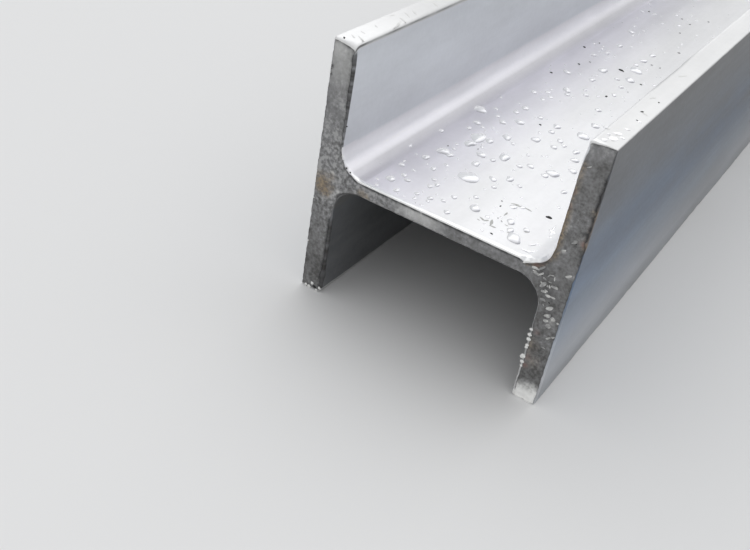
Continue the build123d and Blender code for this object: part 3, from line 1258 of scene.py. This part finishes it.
# %% Drops near the cut
big_drops = [
    (469, 177.2, 18), (378.3, 162.8, 8), (385.6, 157.2, 7), (390.6, 178.3, 9), (401.7, 164.4, 6),
    (408.9, 145.6, 7), (371.7, 156, 3), (478.5, 137.3, 15), (489.5, 140.8, 8), (470, 143.3, 11),
    (443.3, 150.8, 12), (450, 154.8, 7), (453.8, 148.8, 4), (507, 137.3, 9), (513, 143.8, 4),
    (480, 98.8, 5), (528, 155, 4), (540.6, 117.5, 6), (514, 238, 14), (511, 221.5, 8), (510.5, 230, 7),
    (526.5, 230, 6), (598, 110, 6), (595, 125.8, 8), (606.7, 127.5, 6), (566.7, 89.2, 7),
    (567, 94.5, 5), (585, 90, 4), (585.8, 95, 5), (441, 130.6, 6), (427.8, 201, 4), (403.9, 175.6, 4),
    (536, 139.5, 9), (481.5, 154.5, 9), (504.5, 157, 11), (476, 163.5, 8), (493, 160, 6),
    (519.5, 166, 6), (530.5, 166, 7), (493, 179, 7), (510, 179, 8), (545, 175.5, 7), (553, 173.5, 12),
    (519.5, 186, 5), (494, 187, 5), (454, 197, 6), (476, 197, 5), (475, 208, 11), (551, 238, 6),
    (564, 192, 6), (573, 171, 8), (426, 157, 8), (433.5, 168.5, 6), (404, 175, 6), (407.5, 180, 6),
    (389.5, 178, 6), (396.5, 190, 6), (434, 179.5, 5), (437, 184.5, 6), (430, 186, 6), (430.5, 198, 6),
    (443.5, 200.5, 5), (447, 212, 6), (417, 193.5, 5), (469, 128, 5), (477, 122.5, 7), (480, 109, 12),
    (502.5, 122, 7), (519.5, 122, 9), (525.5, 108, 7), (516, 112, 6), (534, 92, 6), (567, 90.5, 7),
    (557, 126.5, 8), (551.5, 132, 6), (560, 141, 6), (554, 147, 7), (564, 146, 5), (583, 136, 12),
    (576, 152, 7), (575, 160, 8), (592, 80, 6), (636, 70.5, 12), (630, 80, 9), (603, 70.5, 9),
    (643.5, 61, 7), (652.5, 55.5, 6), (636, 65, 5), (617, 79, 5), (621, 87, 5), (614, 95, 5),
    (631, 32, 6), (619.5, 46, 6), (567, 72, 7), (594, 55, 5), (607, 53, 5),
]
near_count = 320
near_reach = 0.47
web_half = inner_y - root_radius
near_drops = []
drop_draw = np.random.default_rng(71)
for px, py, width in big_drops:
    x, y, across_drop = on_web(px, py, 1.1 * width)
    radius = across_drop / 2
    longer, turned = drop_draw.uniform(1.15, 1.4), drop_draw.uniform(0.2, 0.8)
    near_drops.append((x, y, radius * longer, radius, turned, min(0.4 * radius, 1.1 * mm)))
while len(near_drops) < near_count:
    x = near_x + 4 * mm + near_reach * drop_draw.uniform() ** 1.3
    y = drop_draw.uniform(-web_half, web_half)
    radius = float(np.clip(drop_draw.lognormal(-0.35, 0.4), 0.35, 1.7)) * mm
    taken = np.array([place[:3] for place in near_drops])
    gap_left = np.hypot(taken[:, 0] - x, taken[:, 1] - y) - taken[:, 2] - radius
    if gap_left.min() > 0.5 * mm and x - near_x > radius + 2 * mm:
        longer, turned = drop_draw.uniform(1.05, 1.4), drop_draw.uniform(0.1, 0.9)
        near_drops.append((x, y, radius * longer, radius / longer, turned, 0.25 * radius))
drop_shares = (0.985, 0.93, 0.82, 0.62, 0.34)
drop_form = {"fullness": 0.85, "lean": tuple(0.3 * part for part in shaded_side)}
drop_caps = caps(near_drops, 20, drop_shares, sunk, 0.12, 73, **drop_form)
add_piece("rain_near", *laid_on(web_top, *drop_caps), water)

# %% Films of water, drops on the upper toes and drops farther along
film_lines = [
    ([(550, 230), (556, 235), (557, 243), (552, 250)], 5.0),
    ([(555, 226), (550, 236), (546, 244)], 3.2),
    ([(523, 249), (530, 252.5), (538, 250.5), (545, 252)], 4.4),
    ([(529, 245.5), (537, 244), (545, 247)], 3.0),
    ([(535, 256), (543, 257.5), (550, 254)], 3.6),
]
toe_pixels = [
    (605, 138.5, 6), (614, 137.5, 10), (618.5, 132.5, 8), (623, 137, 5), (609, 133, 4), (628, 128, 5),
    (640, 121, 4),
]
far_count = 900
film_places = []
for pixels, width in film_lines:
    for start, end in zip(pixels, pixels[1:]):
        x0, y0, wide = on_web(*start, width)
        x1, y1, _ = on_web(*end)
        film_places.append(stroke((x0, y0), (x1, y1), wide / 2, wide / 3, 0.2 * wide))
add_piece("rain_films", *laid_on(web_top, *caps(film_places, 16, drop_shares, sunk, 0.14, 103)), water)

toe_drops = []
for px, py, width in toe_pixels:
    x, y, wide = on_web(px, py, width, toe_top)
    tall = min(0.13 * wide, 0.19 * mm)
    toe_drops.append((x, y, 0.55 * wide, 0.45 * wide, drop_draw.uniform(0, math.pi), tall))
toe_caps = caps(toe_drops, 16, drop_shares, sunk, 0.12, 107, **drop_form)
add_piece("rain_toes", *laid_on(toe_top, *toe_caps), water)

far_drops = []
for _ in range(far_count):
    x = drop_draw.uniform(near_x + near_reach, far_x - 6 * mm)
    y = drop_draw.uniform(-web_half, web_half)
    radius = float(np.clip(drop_draw.lognormal(0.3, 0.45), 0.7, 4.0)) * mm
    far_drops.append((x, y, radius, radius, 0.0, 0.36 * radius))
add_piece("rain_far", *laid_on(web_top, *caps(far_drops, 8, (0.95, 0.6), sunk, 0.08, 79)), water)

# %% [markdown]
# ## Zinc that froze on the cut
#
# Liquid zinc ran down the cut as the bar was lifted out. It froze as bright beads along the edge
# and as duller lumps beside the right root, and it left small pits. The relief of the face is too
# coarse for them, so they are caps as well, laid on the cut at their pixels, and a pit is a dark cap
# that paints the shade inside it. The beads on the outline are held against its rim.

# %% Beads of zinc on the near cut
edge_beads = [
    (529.6, 329.6, 3.6), (527.3, 334.2, 4.4), (524.6, 338.8, 4.6), (523.2, 343.0, 4.0),
    (522.4, 347.0, 3.6), (518.4, 355.4, 6.0), (517.4, 360.2, 4.4), (516.4, 364.5, 3.0),
    (305.2, 284.4, 3.6), (311.4, 283.6, 4.0), (318.6, 288.6, 3.6), (315.6, 290.6, 3.0),
    (317.6, 158, 1.8), (315.6, 168.7, 1.8), (313.7, 181, 1.8), (313.0, 197.5, 2.0), (310.0, 210, 1.8),
    (307.5, 240.5, 1.8), (308.2, 286.8, 5.0), (328.0, 62, 2.0), (325.5, 71, 2.0), (341.9, 156.6, 2.2),
]
bright_strokes = [
    (522.2, 262.9, 529.0, 262.2, 2.2), (513.6, 389.5, 512.8, 394.0, 3.2),
    (514.0, 395.2, 521.0, 399.2, 2.2), (522.5, 400.0, 530.5, 404.2, 2.6),
]
bead_metal = plain_surface("zinc_bead", (0.88, 0.88, 0.86), 0.3, metallic=0.15)
bead_shares = (0.97, 0.85, 0.62, 0.32)
bead_sunk = 0.15 * mm
bead_draw = np.random.default_rng(83)
bead_places = [stroke_on_cut(*ends_and_width) for ends_and_width in bright_strokes]
for px, py, width in edge_beads:
    radius = width * cut_scale / 2
    place = on_cut(px, py)
    edge_place = near_outline[np.argmin(np.sum((near_outline - place) ** 2, axis=1))]
    away = np.linalg.norm(place - edge_place)
    if not inside(place[None], near_outline)[0] and away > 0.75 * radius:
        place = edge_place + (place - edge_place) / away * 0.75 * radius
    turned = bead_draw.uniform(0, math.pi)
    bead_places.append((*place, radius, radius, turned, min(0.9 * radius, 0.5 * mm)))
bead_points, bead_faces = set_on_cut(*caps(bead_places, 14, bead_shares, bead_sunk, 0.13, 89))
add_piece("zinc_beads", np.clip(bead_points, *cad_box), bead_faces, bead_metal)

# %% Lumps of zinc beside the right root
lump_strokes = [
    (531.8, 267.0, 538.0, 270.2, 2.6), (538.5, 269.8, 544.5, 267.8, 2.2),
    (534.0, 273.2, 538.0, 275.4, 2.8), (538.5, 275.4, 543.0, 273.8, 2.0),
    (539.8, 286.6, 545.4, 283.8, 3.4), (551.5, 287.0, 556.8, 289.6, 3.0),
    (540.5, 291.2, 545.5, 293.0, 2.4), (545.0, 295.8, 550.0, 297.6, 2.4),
    (540.0, 299.0, 544.5, 301.4, 2.4), (550.5, 297.8, 554.5, 299.5, 1.6),
    (546.5, 309.8, 551.5, 308.6, 3.8), (544.3, 316.6, 549.5, 316.4, 3.4),
    (550.8, 320.2, 553.4, 320.4, 4.2), (543.5, 321.4, 546.5, 321.6, 3.2),
    (546.2, 327.6, 548.8, 326.4, 4.4), (556.4, 324.4, 558.0, 324.6, 2.0),
    (565.5, 277.6, 570.5, 277.2, 2.6), (561.5, 251.6, 565.2, 251.2, 2.0),
    (571.5, 243.6, 576.0, 243.8, 1.6), (586.5, 168.2, 591.0, 167.2, 1.3),
    (541.0, 347.6, 544.0, 349.2, 1.4), (547.0, 277.6, 549.6, 275.7, 1.1, 0.35),
    (549.6, 275.7, 553.4, 276.6, 1.1, 0.35), (554.3, 278.0, 553.8, 282.0, 1.0, 0.35),
    (547.5, 282.2, 551.0, 283.4, 1.0, 0.35), (545.5, 339.6, 549.5, 338.6, 2.0, 0.4),
    (551.2, 338.6, 553.6, 338.3, 2.0, 0.4),
]
strewn_lumps = 10
lump_line = [on_cut(538, 270), on_cut(546, 290), on_cut(549, 326)]
lump_metal, tree, shader = new_material("zinc_lump")
lump_tone = grain(tree, place_in(tree), 3 * mm)
lump_colour = ramp(tree, lump_tone, [(0.38, (0.32, 0.32, 0.32)), (0.60, (0.68, 0.68, 0.66))])
tree.links.new(lump_colour, shader.inputs["Base Color"])
shader.inputs["Metallic"].default_value = 0.45
shader.inputs["Roughness"].default_value = 0.3

lump_places = []
for px0, py0, px1, py1, width, *height_share in lump_strokes:
    lump_places.append(stroke_on_cut(px0, py0, px1, py1, 1.2 * width, *height_share))
while len(lump_places) < len(lump_strokes) + strewn_lumps:
    stretch, side = bead_draw.uniform(0, 2), bead_draw.normal(0, 2.2) * mm
    start, end = lump_line[int(stretch)], lump_line[int(stretch) + 1]
    run = end - start
    place = start + run * (stretch % 1) + side * np.array([-run[1], run[0]]) / np.linalg.norm(run)
    radius = bead_draw.uniform(0.3, 0.6) * mm
    if inside(place[None], near_outline)[0]:
        turned = bead_draw.uniform(0, math.pi)
        lump_places.append((*place, radius * 1.5, radius * 0.7, turned, 0.3 * radius))
lump_caps = caps(lump_places, 14, bead_shares, bead_sunk, 0.13, 91)
add_piece("zinc_lumps", *set_on_cut(*lump_caps), lump_metal)

# %% Pits in the near cut, as dark caps of painted shade
pits = [
    (345.6, 168.7, 1.8), (349.4, 173.1, 1.6), (342.6, 161.0, 1.2), (331.0, 69.0, 1.6),
    (346.0, 127.0, 1.6), (313.7, 287.2, 4.4), (575.5, 244.7, 1.6), (541.5, 276.0, 1.8),
    (548.5, 303.5, 1.8),
]
# The pits are dark caps that paint the shade inside them; the same dark material is the web's grit.
grit_and_pit_shade = plain_surface("dark_grit_and_pit_shade", (0.03, 0.03, 0.03), 0.7, specular=0.2)
pit_places = []
for px, py, width in pits:
    radius = width * cut_scale / 2
    turned = bead_draw.uniform(0, math.pi)
    pit_places.append((*on_cut(px, py), 1.1 * radius, 0.9 * radius, turned, 0.06 * mm))
add_piece("cut_pit_shade", *set_on_cut(*caps(pit_places, 12, (0.9, 0.5), 0.2 * mm, 0.2, 113)), grit_and_pit_shade)

# %% [markdown]
# ## Grit and smears
#
# Dark grit and thin grey smears lie on the web, and pale marks on the upper toes. Some of the grey
# smears lie just under drops as their painted shadows. They could be colours of the zinc, but its
# mesh is too coarse there for marks of a millimetre. So each is a cap of its own, and the smears are
# almost flat.

# %% Grit, smears and painted drop shadows on the web and the toes
grit_spots = [
    (400.8, 147.5, 3.0), (446, 126, 3.0), (458.5, 117, 2.2), (540.3, 124.7, 3.0), (584.5, 47, 3.4),
    (599.5, 43, 2.2), (579, 64, 3.0), (551.3, 72.5, 3.2), (590, 62, 2.0), (606.3, 96.3, 3.4),
    (641, 84.5, 2.8), (651.8, 65, 2.2), (660, 68, 2.0), (679, 53, 2.6), (680, 33, 2.2), (682, 19, 2.2),
    (690, 24.5, 2.2), (708.5, 22, 2.2), (649, 11.5, 2.4), (568, 48, 2.4), (526.5, 72, 2.2),
    (448, 145.7, 2.0), (478, 149, 1.8), (500.5, 206, 2.4), (502, 201, 2.0), (491.5, 233.5, 3.0),
    (498, 218, 1.6), (501.5, 221, 1.6), (640, 100, 1.6), (628, 92, 1.4), (437, 114, 1.6),
    (402.8, 163.3, 1.8),
]
grit_flakes = [(547.2, 216.3, 551, 218.6, 3.6), (619, 69.3, 623.5, 71.3, 3.0)]
toe_grit = [(344.4, 36.9, 3.0), (642.5, 110.8, 3.4), (637.5, 119.2, 2.2), (659.2, 101.7, 2.4)]
# A few grey smears lie just under drops as painted shadows of them.
smears_and_drop_shadows = [
    (512, 203.4, 519, 205.2, 1.9), (517, 205.4, 527, 208.6, 2.4), (526, 208.3, 532, 211.6, 1.6),
    (504, 87.4, 512, 83, 1.2), (511, 83.4, 521, 77.6, 1.2), (480, 217, 484.5, 220.5, 2.0),
    (484, 220.6, 489, 220.2, 1.6), (492.6, 219.3, 490.4, 225.5, 2.3), (490, 225.6, 495.5, 227.3, 2.2),
    (504.5, 215.2, 507.5, 212.6, 1.8), (508, 223.6, 514, 224.2, 2.4), (507, 232.2, 513.5, 233, 2.0),
    (524, 231.8, 529, 232.2, 1.6), (477, 219, 480, 220.2, 1.2), (505, 224.5, 508, 226, 1.2),
]
toe_marks = [
    (351.9, 34.4, 355, 37.5, 1.1), (358.8, 35.6, 363.8, 40.2, 1.3), (361.3, 30.5, 365, 33.1, 1.0),
    (375, 24.4, 377.5, 26.9, 1.0), (395, 26.9, 401.3, 20.6, 1.5), (399.4, 16.3, 406.3, 21.9, 1.2),
    (390, 15.4, 395, 14.2, 1.0), (405, 11.9, 410, 16.3, 1.0), (412.5, 10, 416.9, 13.8, 1.1),
    (433.8, 1.9, 438.1, 5.6, 1.8), (643.3, 111.7, 647.5, 115, 1.2), (650, 97.5, 656.7, 97, 1.4),
    (678.3, 75.8, 686.7, 75.3, 1.6), (607.5, 127.5, 610, 128.3, 1.2), (611, 139.8, 618, 139.2, 1.4),
    (616, 134.5, 621, 134, 1.2),
]
grey_smear_and_shadow = plain_surface("grey_smears_and_drop_shadows", (0.50, 0.50, 0.48), 0.5)
smear_pale = plain_surface("pale_smears", (0.68, 0.68, 0.67), 0.5)
grit_shares = (0.9, 0.55)

web_chips = chips(grit_spots, web_top) + strokes(grit_flakes, 0.3 * mm, web_top)
web_grit = laid_on(web_top, *caps(web_chips, 12, grit_shares, sunk, 0.16, 97))
toe_chips = laid_on(toe_top, *caps(chips(toe_grit, toe_top), 12, grit_shares, sunk, 0.16, 98))
add_piece("web_grit", *joined(*web_grit, *toe_chips), grit_and_pit_shade)
web_smears_and_drop_shadows = caps(strokes(smears_and_drop_shadows, 0.08 * mm, web_top), 14, grit_shares, sunk, 0.2, 101)
add_piece("web_smears_and_drop_shadows", *laid_on(web_top, *web_smears_and_drop_shadows), grey_smear_and_shadow)
wide_marks = [(*ends, 1.5 * width) for *ends, width in toe_marks]
toe_smears = caps(strokes(wide_marks, 0.05 * mm, toe_top), 14, grit_shares, sunk, 0.25, 102)
add_piece("toe_smears", *laid_on(toe_top, *toe_smears), smear_pale)
